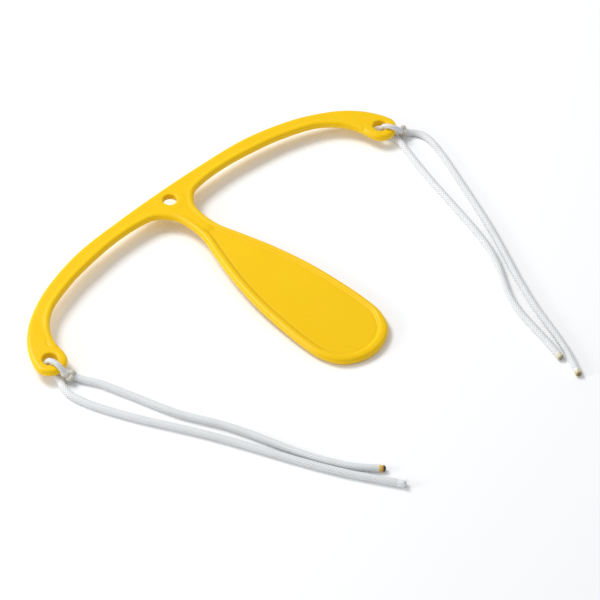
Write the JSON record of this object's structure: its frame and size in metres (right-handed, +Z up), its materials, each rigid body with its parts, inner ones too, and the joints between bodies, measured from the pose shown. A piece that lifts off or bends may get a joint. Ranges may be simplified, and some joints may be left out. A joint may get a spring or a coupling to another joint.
{
  "type": "sock aid",
  "caption": "Sock aid: a flat moulded bow with a rimmed paddle that spreads the sock, and a braided pull cord tied through the eye at each end of the bow.",
  "frame": {"origin": "on the table, under the middle of the box round the moulded bow and paddle", "axes": "+X across the bow to its right eye, -Y along the paddle to its tip, +Z up from the table"},
  "size_m": [0.2443, 0.2252, 0.0127],
  "materials": {
    "moulded_plastic": "satin gloss, injection moulded",
    "braided_cord": "fine white braid",
    "sealed_cord_end": "melted and scorched"
  },
  "bodies": {
    "moulding": {"bow_paddle": "moulded_plastic"},
    "left_hitch": {"left_eye_turn": "braided_cord", "left_knot": "braided_cord"},
    "left_tails": {"left_inner_tail": "braided_cord", "left_outer_tail": "braided_cord", "left_inner_end": "sealed_cord_end", "left_outer_end": "sealed_cord_end"},
    "right_hitch": {"right_eye_turn": "braided_cord", "right_knot": "braided_cord"},
    "right_tails": {"right_inner_tail": "braided_cord", "right_outer_tail": "braided_cord", "right_inner_end": "sealed_cord_end", "right_outer_end": "sealed_cord_end"}
  },
  "joints": [
    {"name": "left_swing", "type": "hinge", "parent": "moulding", "child": "left_hitch", "pos_m": [-0.11, 0.0285, 0.004], "axis": [0, 0, 1], "range_deg": [-70, 16]},
    {"name": "left_lift", "type": "hinge", "parent": "left_hitch", "child": "left_tails", "pos_m": [-0.111, 0.0173, 0.0035], "axis": [-1, 0, 0], "range_deg": [0, 80]},
    {"name": "right_swing", "type": "hinge", "parent": "moulding", "child": "right_hitch", "pos_m": [0.11, 0.0285, 0.004], "axis": [0, 0, 1], "range_deg": [-16, 70]},
    {"name": "right_lift", "type": "hinge", "parent": "right_hitch", "child": "right_tails", "pos_m": [0.115, 0.02, 0.0035], "axis": [-1, 0, 0], "range_deg": [0, 80]}
  ]
}
